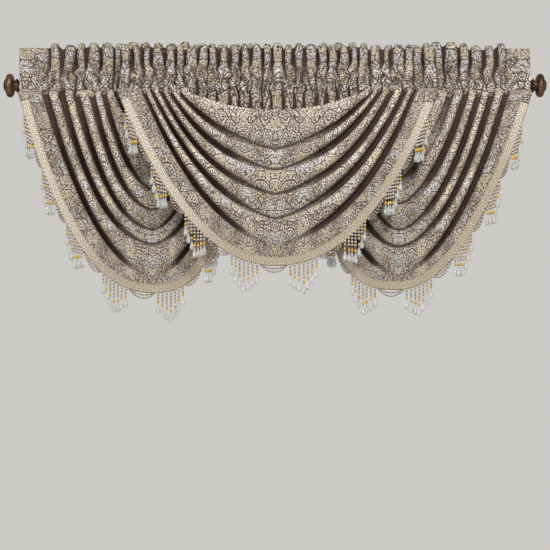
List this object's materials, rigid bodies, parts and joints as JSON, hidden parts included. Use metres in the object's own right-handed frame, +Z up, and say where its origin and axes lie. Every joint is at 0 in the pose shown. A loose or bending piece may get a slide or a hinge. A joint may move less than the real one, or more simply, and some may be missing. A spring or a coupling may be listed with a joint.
{
  "type": "waterfall valance set with curtain rod",
  "caption": "Overlapping waterfall valances in folded paisley cloth with beaded fringe, gathered on a double curtain rod with round finials and wall brackets.",
  "frame": {"origin": "middle of the centre bracket's wall face, at the height of the rods' axes", "axes": "+X along the rods to the viewer's right, +Y into the wall, +Z up"},
  "size_m": [1.6446, 0.2209, 0.8445],
  "materials": {
    "valance_cloth": "woven jacquard, beige ground with blue-grey, pale gold and dark brown figures, soft sheen",
    "braid": "cream woven braid with golden picot edges",
    "beads": "clear and amber glass beads",
    "rod_metal": "satin dark bronze",
    "finial_bronze": "rubbed bronze with copper highlights"
  },
  "bodies": {
    "root": {"rear_rod": "rod_metal", "front_rod": "rod_metal", "finial_left": "finial_bronze", "finial_right": "finial_bronze", "bracket_left": "rod_metal", "bracket_centre": "rod_metal", "bracket_right": "rod_metal", "left_heading": "valance_cloth", "left_swag": "valance_cloth", "left_trim": "braid", "centre_heading": "valance_cloth", "centre_swag": "valance_cloth", "centre_trim": "braid", "right_heading": "valance_cloth", "right_swag": "valance_cloth", "right_trim": "braid"}
  },
  "joints": []
}
